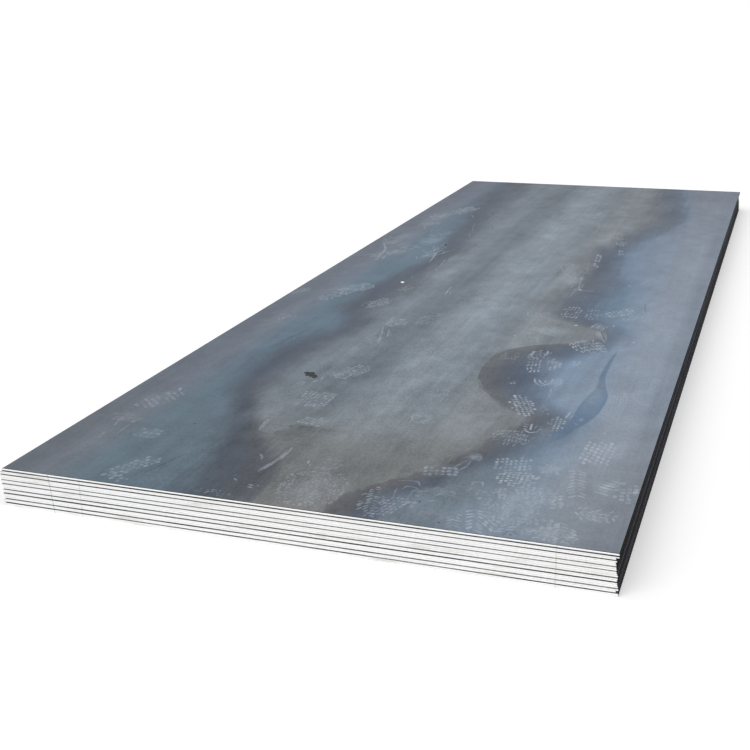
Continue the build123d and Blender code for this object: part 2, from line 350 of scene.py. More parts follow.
# Scratches, scrapes, drips and one painted shadow: tone from -1 (dark) to 1 (pale) and 2 (chalk), width in
# millimetres, points along the stroke
SCRATCHES = [
    # The near end, left of the middle
    (0.50, 17, [(-0.158, -2.545), (-0.160, -2.65), (-0.184, -2.77)]),
    (-0.4, 4, [(-0.36, -2.362), (-0.15, -2.366), (0.05, -2.362)]),
    (-0.28, 3, [(-0.32, -2.385), (-0.10, -2.390), (0.04, -2.386)]),
    (-0.16, 4, [(-0.38, -2.43), (-0.29, -2.452), (-0.17, -2.448)]),
    (-0.4, 5, [(-0.48, -2.71), (-0.50, -2.78), (-0.53, -2.89)]),
    (0.38, 18, [(-0.345, -2.32), (-0.342, -2.38), (-0.335, -2.43)]),
    (0.7, 12, [(-0.168, -2.872), (-0.150, -2.878)]), (0.6, 12, [(-0.166, -2.890), (-0.146, -2.893)]),
    (0.45, 8, [(-0.140, -2.868), (-0.132, -2.878)]), (0.4, 9, [(-0.222, -2.655), (-0.214, -2.678)]),
    (0.4, 7, [(-0.235, -2.815), (-0.245, -2.825)]), (0.45, 9, [(0.068, -2.715), (0.092, -2.708)]),
    (0.45, 10, [(-0.24, -2.63), (-0.215, -2.66)]), (0.4, 8, [(-0.235, -2.84), (-0.215, -2.86)]),
    (0.6, 8, [(-0.06, -2.635), (-0.055, -2.665)]), (0.55, 7, [(-0.045, -2.66), (-0.04, -2.685)]),
    (0.25, 4, [(0.03, -2.65), (0.035, -2.72)]),
    (0.5, 5, [(-0.862, -2.46), (-0.858, -2.50), (-0.85, -2.54)]),
    (0.55, 4, [(-0.848, -2.60), (-0.845, -2.64)]),
    (0.5, 4, [(-0.805, -2.51), (-0.80, -2.56), (-0.80, -2.61)]),
    (0.7, 12, [(-0.82, -2.10), (-0.805, -2.14)]),
    # The near right corner
    (-0.55, 4, [(0.672, -2.985), (0.678, -2.955), (0.70, -2.952), (0.712, -2.968)]),
    (0.5, 7, [(0.44, -2.412), (0.465, -2.425), (0.477, -2.455), (0.466, -2.478)]),
    (0.4, 8, [(0.402, -2.575), (0.414, -2.53), (0.436, -2.475)]),
    (0.4, 7, [(0.427, -2.575), (0.445, -2.53), (0.447, -2.48)]),
    (0.4, 8, [(0.270, -2.706), (0.305, -2.690), (0.335, -2.696), (0.350, -2.728)]),
    (0.35, 7, [(0.300, -2.765), (0.310, -2.738), (0.337, -2.738), (0.362, -2.765)]),
    (0.3, 7, [(0.285, -2.76), (0.288, -2.80), (0.300, -2.84)]),
    (0.3, 7, [(0.335, -2.77), (0.338, -2.81), (0.345, -2.85)]),
    (0.5, 7, [(0.498, -2.672), (0.500, -2.642), (0.528, -2.638), (0.533, -2.668)]),
    (0.4, 6, [(0.505, -2.685), (0.500, -2.72)]), (0.4, 6, [(0.528, -2.69), (0.535, -2.735)]),
    (0.55, 9, [(0.405, -2.765), (0.416, -2.778), (0.425, -2.755)]),
    (0.35, 8, [(0.445, -2.725), (0.465, -2.740)]),
    (0.25, 6, [(0.400, -2.93), (0.410, -2.90), (0.435, -2.892), (0.458, -2.91), (0.462, -2.94)]),
    (0.45, 6, [(0.728, -2.845), (0.702, -2.848), (0.698, -2.88), (0.704, -2.912)]),
    (0.4, 6, [(0.700, -2.878), (0.722, -2.876)]),
    (0.45, 7, [(0.925, -2.48), (0.932, -2.53), (0.945, -2.58)]),
    (0.35, 6, [(0.945, -2.50), (0.950, -2.54)]),
    # The round heel mark right of the middle
    (0.55, 7, [(0.155, -2.09), (0.137, -2.13), (0.150, -2.18), (0.180, -2.195),
            (0.205, -2.16), (0.200, -2.11)]), (0.45, 6, [(0.160, -2.12), (0.165, -2.16), (0.182, -2.17)]),
    (0.45, 6, [(0.180, -2.10), (0.187, -2.14)]),
    # The rim of the blue bay, and the scuffs at its far end
    (-0.3, 6, [(0.36, -1.14), (0.31, -1.17), (0.27, -1.23), (0.25, -1.30), (0.238, -1.40), (0.24, -1.55),
            (0.258, -1.66), (0.29, -1.75), (0.34, -1.82), (0.39, -1.88)]),
    (0.6, 8, [(0.630, -0.965), (0.650, -1.01), (0.668, -1.06), (0.678, -1.12)]),
    (0.35, 8, [(0.592, -0.855), (0.610, -0.91), (0.630, -0.965)]),
    (0.3, 8, [(0.628, -0.86), (0.645, -0.92), (0.655, -0.98)]),
    (-0.22, 6, [(0.612, -0.86), (0.632, -0.93), (0.650, -1.00)]),
    (-0.2, 7, [(0.655, -1.02), (0.672, -1.08), (0.69, -1.16)]),
    (0.7, 8, [(0.585, -0.735), (0.566, -0.77), (0.562, -0.83)]),
    (0.6, 8, [(0.598, -0.745), (0.590, -0.79), (0.592, -0.83)]),
    (0.6, 8, [(0.612, -0.80), (0.62, -0.83), (0.605, -0.845)]), (0.5, 9, [(0.652, -0.74), (0.655, -0.78)]),
    (0.4, 7, [(0.635, -0.76), (0.625, -0.80)]),
    # The fan-shaped print where the bay ends
    (0.75, 9, [(0.535, -2.093), (0.556, -2.100)]), (0.75, 8, [(0.538, -2.115), (0.557, -2.123)]),
    (0.7, 8, [(0.545, -2.140), (0.561, -2.148)]),
    (0.8, 8, [(0.565, -2.083), (0.568, -2.12), (0.572, -2.15)]),
    (0.75, 7, [(0.586, -2.095), (0.583, -2.13)]), (0.75, 8, [(0.606, -2.098), (0.592, -2.118)]),
    (0.75, 8, [(0.610, -2.125), (0.595, -2.145)]),
    (0.85, 9, [(0.550, -2.152), (0.575, -2.174), (0.602, -2.155)]),
    (0.5, 9, [(0.615, -2.055), (0.622, -2.08)]),
    # Along the blue finger
    (0.7, 9, [(0.672, -1.92), (0.670, -1.96), (0.666, -2.00)]), (0.45, 7, [(0.687, -1.95), (0.684, -2.0)]),
    (0.35, 12, [(0.730, -1.775), (0.725, -1.81)]), (0.35, 14, [(0.725, -1.98), (0.720, -2.01)]),
    (0.4, 9, [(0.700, -2.03), (0.720, -2.055)]), (0.35, 6, [(0.648, -2.165), (0.642, -2.19)]),
    # Inside the bay
    (0.75, 9, [(0.468, -1.585), (0.478, -1.63), (0.500, -1.665), (0.528, -1.672)]),
    (0.8, 8, [(0.488, -1.60), (0.502, -1.635), (0.524, -1.655), (0.540, -1.63), (0.540, -1.57)]),
    (0.6, 8, [(0.512, -1.60), (0.522, -1.635)]),
    (0.5, 8, [(0.552, -1.56), (0.574, -1.58), (0.578, -1.63), (0.562, -1.67)]),
    (0.45, 8, [(0.555, -1.69), (0.562, -1.74), (0.565, -1.79)]), (0.3, 6, [(0.265, -1.0), (0.27, -1.12)]),
    (0.8, 9, [(0.400, -1.235), (0.388, -1.27), (0.395, -1.31), (0.420, -1.33)]),
    (0.5, 8, [(0.425, -1.24), (0.418, -1.28)]), (0.8, 9, [(0.445, -1.215), (0.452, -1.25), (0.446, -1.29)]),
    (0.5, 8, [(0.466, -1.23), (0.462, -1.26)]),
    # Beside the bay and across the middle
    (0.5, 7, [(0.36, -1.02), (0.375, -1.10)]), (0.35, 7, [(0.32, -0.88), (0.335, -0.96)]),
    (0.5, 8, [(0.40, -1.65), (0.41, -1.68)]), (0.4, 6, [(0.368, -1.60), (0.372, -1.63)]),
    (-0.4, 5, [(0.74, -0.33), (0.75, -0.42), (0.765, -0.50)]), (0.4, 20, [(0.81, -0.46), (0.83, -0.48)]),
    (0.5, 8, [(-0.34, -1.06), (-0.31, -1.18), (-0.28, -1.31)]), (0.45, 7, [(-0.30, -1.10), (-0.27, -1.22)]),
    (0.4, 7, [(-0.35, -0.90), (-0.33, -1.00)]),
    (-0.22, 12, [(-0.65, -1.20), (-0.68, -1.35), (-0.695, -1.52)]),
    (-0.15, 9, [(-0.63, -1.30), (-0.655, -1.43)]),
    # The chalk fleck and its shadow, and the nicks round it
    (2.0, 20, [(-0.521, -0.230), (-0.508, -0.265)]), (-0.8, 12, [(-0.532, -0.203), (-0.522, -0.225)]),
    (0.45, 5, [(-0.50, -0.11), (-0.497, -0.145)]),
    (0.6, 7, [(-0.245, -0.27), (-0.24, -0.34), (-0.23, -0.44)]),
    (0.35, 5, [(-0.225, -0.36), (-0.205, -0.43)]), (0.4, 5, [(-0.65, -0.41), (-0.64, -0.44)]),
    # Boots dragged along the left side
    (0.55, 7, [(-0.86, 0.52), (-0.81, 0.60), (-0.76, 0.69)]),
    (0.5, 7, [(-0.84, 0.45), (-0.78, 0.50), (-0.72, 0.53)]),
    (0.5, 7, [(-0.85, 0.37), (-0.90, 0.33), (-0.95, 0.27)]), (0.45, 7, [(-0.87, 0.62), (-0.84, 0.76)]),
    (0.55, 7, [(-0.61, 0.64), (-0.57, 0.52), (-0.55, 0.42)]),
    (0.5, 7, [(-0.64, 0.51), (-0.59, 0.45), (-0.57, 0.36)]),
    (0.5, 7, [(-0.55, 0.36), (-0.50, 0.48), (-0.47, 0.60)]), (0.45, 7, [(-0.63, 0.36), (-0.60, 0.28)]),
    (0.55, 8, [(-0.77, 1.86), (-0.73, 1.92), (-0.69, 1.90)]),
    (0.5, 8, [(-0.90, 1.58), (-0.85, 1.66), (-0.80, 1.70)]),
    (0.45, 8, [(0.13, 1.66), (0.16, 1.80), (0.17, 1.98)]), (0.4, 8, [(0.19, 1.60), (0.22, 1.72)]),
    (0.65, 13, [(-0.93, 0.66), (-0.89, 0.57), (-0.858, 0.49), (-0.845, 0.40),
            (-0.835, 0.30), (-0.815, 0.22)]), (0.5, 12, [(-0.835, 0.33), (-0.822, 0.25), (-0.825, 0.20)]),
    (0.5, 10, [(-0.80, 0.33), (-0.795, 0.24)]), (0.5, 10, [(-0.57, 0.66), (-0.555, 0.73), (-0.54, 0.70)]),
    (0.5, 9, [(-0.56, 0.60), (-0.58, 0.53), (-0.59, 0.46)]),
    (0.65, 11, [(-0.535, 0.55), (-0.545, 0.47), (-0.53, 0.38), (-0.52, 0.30), (-0.515, 0.23)]),
    (0.5, 9, [(-0.51, 0.52), (-0.50, 0.45)]), (0.4, 8, [(-0.45, 0.33), (-0.43, 0.20)]),
    (0.45, 12, [(-0.425, 0.08), (-0.42, 0.04)]), (0.4, 10, [(-0.44, 0.24), (-0.435, 0.18)]),
    # The drip and scrapes right of the middle
    (0.75, 9, [(0.35, 0.14), (0.365, 0.05), (0.375, -0.05), (0.385, -0.12)]),
    (0.95, 16, [(0.385, -0.13), (0.405, -0.17)]), (0.35, 9, [(0.36, 0.17), (0.37, 0.03), (0.375, -0.10)]),
    (0.4, 10, [(0.28, 0.15), (0.30, 0.07)]), (0.35, 9, [(0.39, -0.17), (0.43, -0.16), (0.47, -0.17)]),
    (0.4, 10, [(0.61, 0.02), (0.63, -0.02)]), (0.3, 10, [(0.73, 0.20), (0.69, 0.12), (0.68, 0.05)]),
    (0.3, 9, [(0.20, 0.35), (0.23, 0.25), (0.26, 0.18)]),
    # The far half
    (0.4, 9, [(-0.76, 1.78), (-0.745, 1.70), (-0.71, 1.62)]), (0.35, 8, [(-0.65, 1.66), (-0.60, 1.53)]),
    (0.3, 6, [(-0.545, 1.36), (-0.53, 1.26), (-0.50, 1.10)]), (0.25, 6, [(-0.50, 1.05), (-0.47, 0.93)]),
    (0.3, 8, [(-0.83, 1.20), (-0.81, 1.10)]), (0.3, 6, [(-0.76, 1.12), (-0.74, 1.02)]),
    (-0.45, 6, [(-0.415, 1.30), (-0.40, 1.23)]), (0.3, 9, [(0.15, 1.98), (0.16, 1.72)]),
    (0.3, 6, [(-0.565, 1.75), (-0.50, 1.62)]), (0.25, 8, [(0.22, 1.55), (0.24, 1.3)]),
    (0.3, 7, [(0.38, -0.05), (0.37, -0.3)]), (0.3, 8, [(0.33, 0.5), (0.36, 0.25), (0.35, 0.05)]),
]
# Thin dark lines down the sheared ends: x at the top, lean, half width in metres, share
END_LINES = [(-0.820, -0.10, 0.0025, 0.30), (-0.705, -0.02, 0.0025, 0.18), (0.83, 0.0, 0.0035, 0.15)]
# How dark the painted shade is at the open seams, from the floor up, and at all the close ones
OPEN_SEAM_SHADE = (1.0, 1.0, 1.1, 0.9, 0.8, 0.7, 0.95, 1.25)
CLOSE_SEAM_SHADE = 0.24
FLOOR_CONTACT_SHADE = 0.5  # painted shade on the foot of the lowest plate, where it stands on the floor
FOOT_SHADE = 0.9  # painted shade on the foot above a seam, as a share of the lip below it
# Loose flecks: x, y, size in millimetres, tone
FLECKS = [
    (0.49, -0.797, 19, 0.95), (0.395, -1.675, 15, 0.8), (0.38, -1.10, 16, 0.6), (0.26, -1.03, 12, 0.6),
    (0.381, -2.836, 9, -1.0), (0.477, -2.957, 7, -0.9), (0.693, -2.973, 7, -0.8), (-0.582, -2.44, 9, -0.8),
    (-0.404, -1.68, 7, -0.7), (0.735, -2.455, 6, 1.0), (0.843, -2.773, 7, 1.0), (0.823, -2.107, 9, 1.0),
    (0.957, -1.82, 8, 0.9), (0.773, -0.993, 14, 0.9), (0.863, -0.765, 9, 0.8), (0.91, -0.86, 8, 0.7),
    (0.027, -0.447, 8, 0.8), (-0.076, -1.72, 7, 0.8), (0.60, -1.34, 9, 0.6), (-0.843, -2.65, 7, 0.9),
    (0.17, -0.02, 9, 0.6), (-0.10, 0.75, 10, 0.6), (0.55, 0.9, 10, 0.5), (0.22, -2.40, 6, 0.5),
    (-0.66, -1.35, 7, 0.5), (0.90, 0.35, 9, 0.5), (-0.12, -2.52, 6, -0.6), (0.12, -2.28, 6, -0.5),
]
# The outline of the dark flake that lies left of the middle, drawn clockwise
FLAKE = [
    (-0.432, -1.786), (-0.421, -1.771), (-0.409, -1.776), (-0.398, -1.768), (-0.386, -1.780),
    (-0.379, -1.797), (-0.368, -1.803), (-0.357, -1.823), (-0.362, -1.842), (-0.374, -1.838),
    (-0.381, -1.826), (-0.391, -1.830), (-0.397, -1.818), (-0.408, -1.826), (-0.415, -1.812),
    (-0.412, -1.801), (-0.424, -1.797),
]
FLAKE_HEIGHT = 0.0005  # metres
MARKS_SEED = 11
SMEARS_SEED = 23


def linear(tint):
    """An sRGB tint of 0 to 255 as the linear colour that a socket takes."""
    shares = [c / 255 for c in tint]
    return tuple(s / 12.92 if s <= 0.04045 else ((s + 0.055) / 1.055) ** 2.4 for s in shares) + (1.0,)


def colour_of(value):
    """What a colour socket is given: a tint in linear light, factors with an alpha, or another socket."""
    if not isinstance(value, tuple):
        return value
    return linear(value) if max(value) > HIGHEST_FACTOR else value + (1.0,)


def between(dark, pale, share):
    """The tint that lies this share of the way from dark to pale."""
    return tuple(low + (high - low) * share for low, high in zip(dark, pale))


class Wiring:
    """Adds nodes to one tree and joins them, so that a finish reads as its formula."""

    def __init__(self, tree):
        self.tree = tree

    def node(self, kind, **settings):
        made = self.tree.nodes.new(kind)
        for name, value in settings.items():
            setattr(made, name, value)
        return made

    def feed(self, socket, value):
        if isinstance(value, bpy.types.NodeSocket):
            self.tree.links.new(value, socket)
        else:
            socket.default_value = value

    def fill(self, made, values):
        """Feeds a node's sockets by their names, and gives back its outputs."""
        for name, value in values.items():
            self.feed(made.inputs[name], value)
        return made.outputs

    def maths(self, operation, a, b=0.0, clamp=False):
        made = self.node("ShaderNodeMath", operation=operation, use_clamp=clamp)
        self.feed(made.inputs[0], a)
        self.feed(made.inputs[1], b)
        return made.outputs[0]

    def add(self, a, b):
        return self.maths("ADD", a, b)

    def take(self, a, b):
        return self.maths("SUBTRACT", a, b)

    def times(self, a, b):
        return self.maths("MULTIPLY", a, b)

    def smooth(self, value, start, end, low=0.0, high=1.0):
        """Rises smoothly from low to high while value goes from start to end."""
        made = self.node("ShaderNodeMapRange", interpolation_type="SMOOTHSTEP")
        values = {"Value": value, "From Min": start, "From Max": end, "To Min": low, "To Max": high}
        return self.fill(made, values)["Result"]

    def mix(self, share, a, b, blend="MIX"):
        made = self.node("ShaderNodeMix", data_type="RGBA", blend_type=blend)
        colours = [s for s in made.inputs if s.type == "RGBA"]
        self.feed(made.inputs[0], share)
        self.feed(colours[0], colour_of(a))
        self.feed(colours[1], colour_of(b))
        return [s for s in made.outputs if s.type == "RGBA"][0]

    def tinted(self, colour, factor):
        """A colour times a factor, which may differ for red, green and blue."""
        return self.mix(1.0, colour, factor, blend="MULTIPLY")

    def ramp(self, where, stops):
        """A colour ramp over (place, tint) stops, with place in the same units as where."""
        low, high = stops[0][0], stops[-1][0]
        made = self.node("ShaderNodeValToRGB")
        elements = made.color_ramp.elements
        while len(elements) < len(stops):
            elements.new(0.5)
        for element, (place, tint) in zip(elements, stops):
            element.position = (place - low) / (high - low)
            element.color = linear(tint)
        share = self.maths("DIVIDE", self.take(where, low), high - low, clamp=True)
        self.feed(made.inputs[0], share)
        return made.outputs["Color"]

    def stations(self, where, points, low, high):
        """A curve through the given (place, value) stations, with values between low and high."""
        made = self.node("ShaderNodeFloatCurve")
        curve = made.mapping.curves[0]
        shares = [((place + STATION_REACH) / (2 * STATION_REACH), (value - low) / (high - low))
                  for place, value in points]
        for share in shares[1:-1]:
            curve.points.new(*share)
        curve.points[0].location = shares[0]
        curve.points[-1].location = shares[-1]
        for point in curve.points:
            point.handle_type = "AUTO_CLAMPED"
        made.mapping.update()
        share = self.maths("DIVIDE", self.add(where, STATION_REACH), 2 * STATION_REACH, clamp=True)
        self.feed(made.inputs["Value"], share)
        return self.add(self.times(made.outputs[0], high - low), low)

    def scaled(self, place, factors):
        made = self.node("ShaderNodeVectorMath", operation="MULTIPLY")
        self.feed(made.inputs[0], place)
        self.feed(made.inputs[1], factors)
        return made.outputs[0]

    def noise(self, place, factors, detail=3.0, roughness=0.55):
        """Noise around zero, with so many waves to the metre along x, y and z."""
        made = self.node("ShaderNodeTexNoise")
        place = self.scaled(place, factors)
        values = {"Vector": place, "Scale": 1.0, "Detail": detail, "Roughness": roughness}
        return self.take(self.fill(made, values)["Fac"], 0.5)

    def choose(self, share, a, b):
        """Shader a where the share is 0, and shader b where it is 1."""
        made = self.node("ShaderNodeMixShader")
        for socket, value in zip(made.inputs, (share, a, b)):
            self.feed(socket, value)
        return made.outputs[0]

    def split(self, place):
        made = self.node("ShaderNodeSeparateXYZ")
        self.feed(made.inputs[0], place)
        return made.outputs[0], made.outputs[1], made.outputs[2]


def shader_group(name, inputs, outputs):
    """An empty shader group with named sockets, its wiring and its two end nodes."""
    tree = bpy.data.node_groups.new(name, "ShaderNodeTree")
    for label, kind in inputs.items():
        tree.interface.new_socket(label, in_out="INPUT", socket_type="NodeSocket" + kind)
    for label, kind in outputs.items():
        tree.interface.new_socket(label, in_out="OUTPUT", socket_type="NodeSocket" + kind)
    wiring = Wiring(tree)
    return tree, wiring, wiring.node("NodeGroupInput"), wiring.node("NodeGroupOutput")


def use_group(wiring, tree, **values):
    """The outputs of a shader group with these values on its inputs."""
    return wiring.fill(wiring.node("ShaderNodeGroup", node_tree=tree), values)


def rolled_grain_group():
    """Faint streaks and speckle that rolling leaves along the plate, as a brightness factor near 1."""
    inputs = {"Place": "Vector", "Strength": "Float"}
    tree, w, given, result = shader_group("rolled_grain", inputs, {"Factor": "Float"})
    place = given.outputs["Place"]
    streaks = w.noise(place, (34.0, 1.3, 8.0), detail=5.0, roughness=0.62)
    broad = w.noise(place, (9.0, 0.8, 2.0), detail=3.0)
    clouds = w.noise(place, (6.5, 4.5, 3.0), detail=8.0, roughness=0.68)
    speckle = w.noise(place, (120.0, 60.0, 90.0), detail=4.0, roughness=0.7)
    total = w.add(w.times(streaks, 0.27), w.times(broad, 0.16))
    total = w.add(total, w.add(w.times(clouds, 0.70), w.times(speckle, 0.48)))
    w.feed(result.inputs["Factor"], w.add(w.times(total, given.outputs["Strength"]), 1.0))
    return tree


def rolled_surface_group():
    """The slight waves and pits of a rolled face, as a height, and how rough it is."""
    outputs = {"Relief": "Float", "Roughness": "Float"}
    tree, w, given, result = shader_group("rolled_surface", {"Place": "Vector"}, outputs)
    place = given.outputs["Place"]
    waves = w.noise(place, (26.0, 7.0, 10.0), detail=4.0)
    pits = w.noise(place, (420.0, 260.0, 300.0), detail=2.0)
    w.feed(result.inputs["Relief"], w.add(waves, w.times(pits, 0.12)))
    blotches = w.noise(place, (14.0, 4.0, 4.0), detail=4.0)
    w.feed(result.inputs["Roughness"], w.add(w.times(blotches, 0.16), 0.52))
    return tree


def mill_scale_group(grain):
    """The tint of the mill scale at any place on a plate's face, with painted shade and a painted blue
    reflection towards the far end.
    """
    tree, w, given, result = shader_group("mill_scale", {"Place": "Vector"}, {"Tint": "Color"})
    place = given.outputs["Place"]
    x, y, _ = w.split(place)
    wander = w.times(w.noise(place, (4.0, 2.2, 0.0), detail=4.0), 0.06)
    feather = w.times(w.noise(place, (30.0, 6.0, 0.0), detail=6.0, roughness=0.66), 0.085)
    calm = w.times(w.smooth(y, -2.0, -1.85), w.smooth(y, -1.05, -1.2, 0.0, 0.9))
    feather = w.times(feather, w.take(w.smooth(y, 0.6, 1.6, 1.0, 1.7), w.times(calm, w.smooth(x, 0.0, 0.1))))
    loose_x = w.add(w.add(x, wander), feather)

    streaks = [(at, between(BAND_DARK, BAND_PALE, share)) for at, share in BAND_STREAKS]
    centre = w.ramp(w.add(x, w.times(wander, 0.5)), streaks)
    warm = w.tinted(centre, BAND_WARMTH)
    centre = w.mix(w.smooth(x, 0.14, 0.32), centre, warm)
    centre = w.mix(w.smooth(w.add(y, w.times(feather, 4.0)), -2.1, -2.62), centre, OLIVE_GREY)
    centre = w.mix(w.smooth(y, -2.7, -2.95), centre, NEAR_GREY)

    def dark_band(side, lines, tints, outer):
        """Three tints in turn between the inner line and the navy line, and the outer tint past it."""
        inner, dark, soft, depth, fade = [w.stations(y, line, -1.0, 1.0) for line in lines]
        across = w.maths("DIVIDE", w.take(loose_x, inner), w.take(dark, inner))
        past = w.times(w.take(loose_x, dark), side)
        inside = w.ramp(across, list(zip((0.0, 0.5, 1.0), tints)))
        band = w.mix(w.times(w.smooth(across, 0.0, soft), depth), centre, inside)
        return w.mix(w.smooth(past, w.times(fade, -0.1), fade), band, outer(past))

    def outer_left(past):
        sea = w.mix(w.smooth(w.times(x, -1.0), 0.70, 0.86), STEEL_BLUE, LILAC_LEFT)
        return w.mix(w.smooth(w.times(x, -1.0), 0.83, 0.94), sea, SIDE_DARK_LEFT)

    def outer_right(past):
        sea = w.ramp(past, [(0.0, SLATE_BLUE), (0.07, SLATE_BLUE), (0.15, SKY_BLUE), (0.32, PALE_BLUE)])
        sea = w.mix(w.times(w.smooth(y, -2.4, -2.65), w.smooth(past, 0.34, 0.16)), sea, TEAL)
        sea = w.mix(w.smooth(x, 0.70, 0.84), sea, LILAC_RIGHT)
        sea = w.mix(w.times(w.smooth(y, 0.8, 1.6), w.smooth(past, 0.05, 0.2)), sea, LILAC_FAR)
        cove = w.times(w.smooth(y, -0.8, -0.5), w.smooth(y, 0.15, -0.15))
        sea = w.mix(w.times(cove, w.smooth(x, 0.70, 0.60)), sea, SEA_TEAL)
        shade_start = w.smooth(y, -2.1, -2.6, 0.905, 0.80)
        sea = w.mix(w.smooth(x, shade_start, 0.965), sea, SIDE_DARK_RIGHT)
        # Brightness along the outer right part, falling towards the far end as painted shade
        return w.tinted(sea, w.stations(y, ALONG_RIGHT, 0.0, 2.0))

    left_lines = (INNER_LEFT_LINE, NAVY_LEFT_LINE, SOFT_LEFT, DEPTH_LEFT, FADE_LEFT)
    right_lines = (INNER_RIGHT_LINE, NAVY_RIGHT_LINE, SOFT_RIGHT, DEPTH_RIGHT, FADE_RIGHT)
    left = dark_band(-1.0, left_lines, (BROWN_EDGE_LEFT, BROWN_LEFT, NAVY_LEFT), outer_left)
    right = dark_band(1.0, right_lines, (BROWN_EDGE_RIGHT, BROWN_RIGHT, NAVY_RIGHT), outer_right)
    tint = w.mix(w.smooth(x, -0.02, 0.02), left, right)

    finger_x = w.stations(y, FINGER_LINE, 0.0, 1.0)
    finger_half = w.stations(y, FINGER_HALF, 0.0, 0.1)
    finger = w.smooth(w.take(finger_half, w.maths("ABSOLUTE", w.take(x, finger_x))), 0.0, 0.008)
    tint = w.mix(w.times(finger, 0.85), tint, DEEP_BLUE)

    inward = w.smooth(w.maths("ABSOLUTE", x), 0.35, 0.65, 1.8, 1.05)
    strength = w.times(w.smooth(y, 0.5, -1.5, 0.9, 1.1), inward)
    factor = use_group(w, grain, Place=place, Strength=strength)["Factor"]
    # Brightness along the plate, falling towards the far end as painted shade
    factor = w.times(factor, w.stations(y, ALONG, 0.0, 2.0))
    tint = w.tinted(tint, factor)
    # Colour cast along the plate, bluer towards the far end as a painted reflection
    cast = w.mix(w.smooth(y, -2.6, -1.6), NEAR_CAST, MIDDLE_CAST)
    cast = w.mix(w.smooth(y, 0.8, 2.4), cast, FAR_CAST)
    w.feed(result.inputs["Tint"], w.tinted(tint, cast))
    return tree


def bare_wiring(owner):
    """The wiring of a material or world whose node tree starts empty."""
    owner.use_nodes = True
    owner.node_tree.nodes.clear()
    return Wiring(owner.node_tree)


def new_material(name):
    made = bpy.data.materials.new(name)
    wiring = bare_wiring(made)
    shader = wiring.node("ShaderNodeBsdfPrincipled")
    output = wiring.node("ShaderNodeOutputMaterial")
    wiring.feed(output.inputs["Surface"], shader.outputs[0])
    place = wiring.node("ShaderNodeTexCoord").outputs["Object"]
    return made, wiring, shader, place


def shine(w, shader, roughness, relief):
    """Gives a shader the dull sheen and the shallow relief of mill scale."""
    made = w.node("ShaderNodeBump")
    values = {"Strength": RELIEF_STRENGTH, "Distance": RELIEF_DEPTH, "Height": relief}
    normal = w.fill(made, values)["Normal"]
    w.fill(shader, {"Roughness": roughness, "Specular IOR Level": SCALE_SPECULAR, "Normal": normal})


def plate_steel(node, mill_scale, grain, surface, lip_share, foot_share):
    """One plate's finish: mill scale on its faces, bare steel lifted to near white by painted light on its
    sheared ends, with painted shade by the seams, and rolled long edges darkened by their scale and by
    painted shade.
    """
    low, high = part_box(node)
    made, w, shader, place = new_material(node + "_steel")
    x, y, z = w.split(place)
    facing = w.node("ShaderNodeNewGeometry").outputs["True Normal"]
    facing_x, facing_y, _ = w.split(facing)
    scale = use_group(w, mill_scale, Place=place)["Tint"]

    height = w.maths("DIVIDE", w.take(z, low.z), high.z - low.z)
    torn = w.smooth(height, 0.66, 0.56)
    shear_lines = w.noise(place, (420.0, 0.0, 26.0), detail=3.0)
    # The sheared ends: bright steel and painted light, near white
    cut = w.mix(torn, BRIGHT_CUT_AND_LIGHT, TORN_CUT_AND_LIGHT)
    cut = w.tinted(cut, w.add(w.times(shear_lines, 0.14), 1.0))
    ragged = w.times(w.noise(place, (30.0, 0.0, 30.0), detail=4.0), 0.12)
    uneven = w.smooth(w.noise(place, (2.6, 0.0, 60.0), detail=4.0, roughness=0.6), -0.22, 0.2, 0.62, 1.12)
    # Lip and foot: painted shade on the sheared end next to each seam, deepest where the gap between plates
    # is open
    lip_start = 0.80 - 0.16 * lip_share
    foot_start = 0.12 + 0.10 * foot_share
    lip = w.times(w.smooth(w.add(height, ragged), lip_start, lip_start + 0.15), uneven)
    foot = w.times(w.smooth(w.add(height, ragged), foot_start, foot_start - 0.12), uneven)
    cut = w.mix(w.times(lip, lip_share), cut, DARK_SCALE_AND_SEAM_SHADE)
    cut = w.mix(w.times(foot, foot_share), cut, DARK_SCALE_AND_SEAM_SHADE)

    stained = w.noise(place, (5.0, 0.0, 40.0), detail=5.0, roughness=0.6)
    cut = w.mix(w.smooth(stained, 0.02, 0.22, 0.0, 0.5), cut, END_STAIN)
    for top_x, lean, half, share in END_LINES:
        line_x = w.add(w.times(w.take(z, TOP_Z), lean), top_x)
        line = w.smooth(w.maths("ABSOLUTE", w.take(x, line_x)), half, half * 0.4)
        cut = w.mix(w.times(line, share), cut, DARK_SCALE_AND_SEAM_SHADE)

    # The rolled long edges, near black: their scale and painted shade
    edge_grain = use_group(w, grain, Place=place, Strength=1.5)["Factor"]
    edge = w.tinted(MILL_EDGE_AND_SHADE, edge_grain)

    at_end = w.smooth(w.maths("ABSOLUTE", facing_y), 0.25, 0.55)
    at_side = w.smooth(w.maths("ABSOLUTE", facing_x), 0.2, 0.5)
    from_middle = w.maths("ABSOLUTE", w.take(y, TOP_MIDDLE.y))
    at_brink = w.smooth(from_middle, HALF_LENGTH - 0.008, HALF_LENGTH - 0.003)
    burr = w.smooth(w.noise(place, (44.0, 0.0, 0.0), detail=3.0), -0.12, 0.1, 0.15, 0.75)
    face = w.mix(w.times(at_brink, burr), scale, DARK_SCALE_AND_SEAM_SHADE)
    colour = w.mix(at_end, face, cut)
    colour = w.mix(at_side, colour, edge)
    w.fill(shader, {"Base Color": colour, "Metallic": w.times(at_end, END_METALLIC)})

    rolled = use_group(w, surface, Place=place)
    dulled = w.add(rolled["Roughness"], w.times(at_side, 0.4))
    relief = w.add(rolled["Relief"], w.times(w.times(shear_lines, at_end), 1.2))
    shine(w, shader, w.take(dulled, w.times(at_end, 0.12)), relief)
    return made


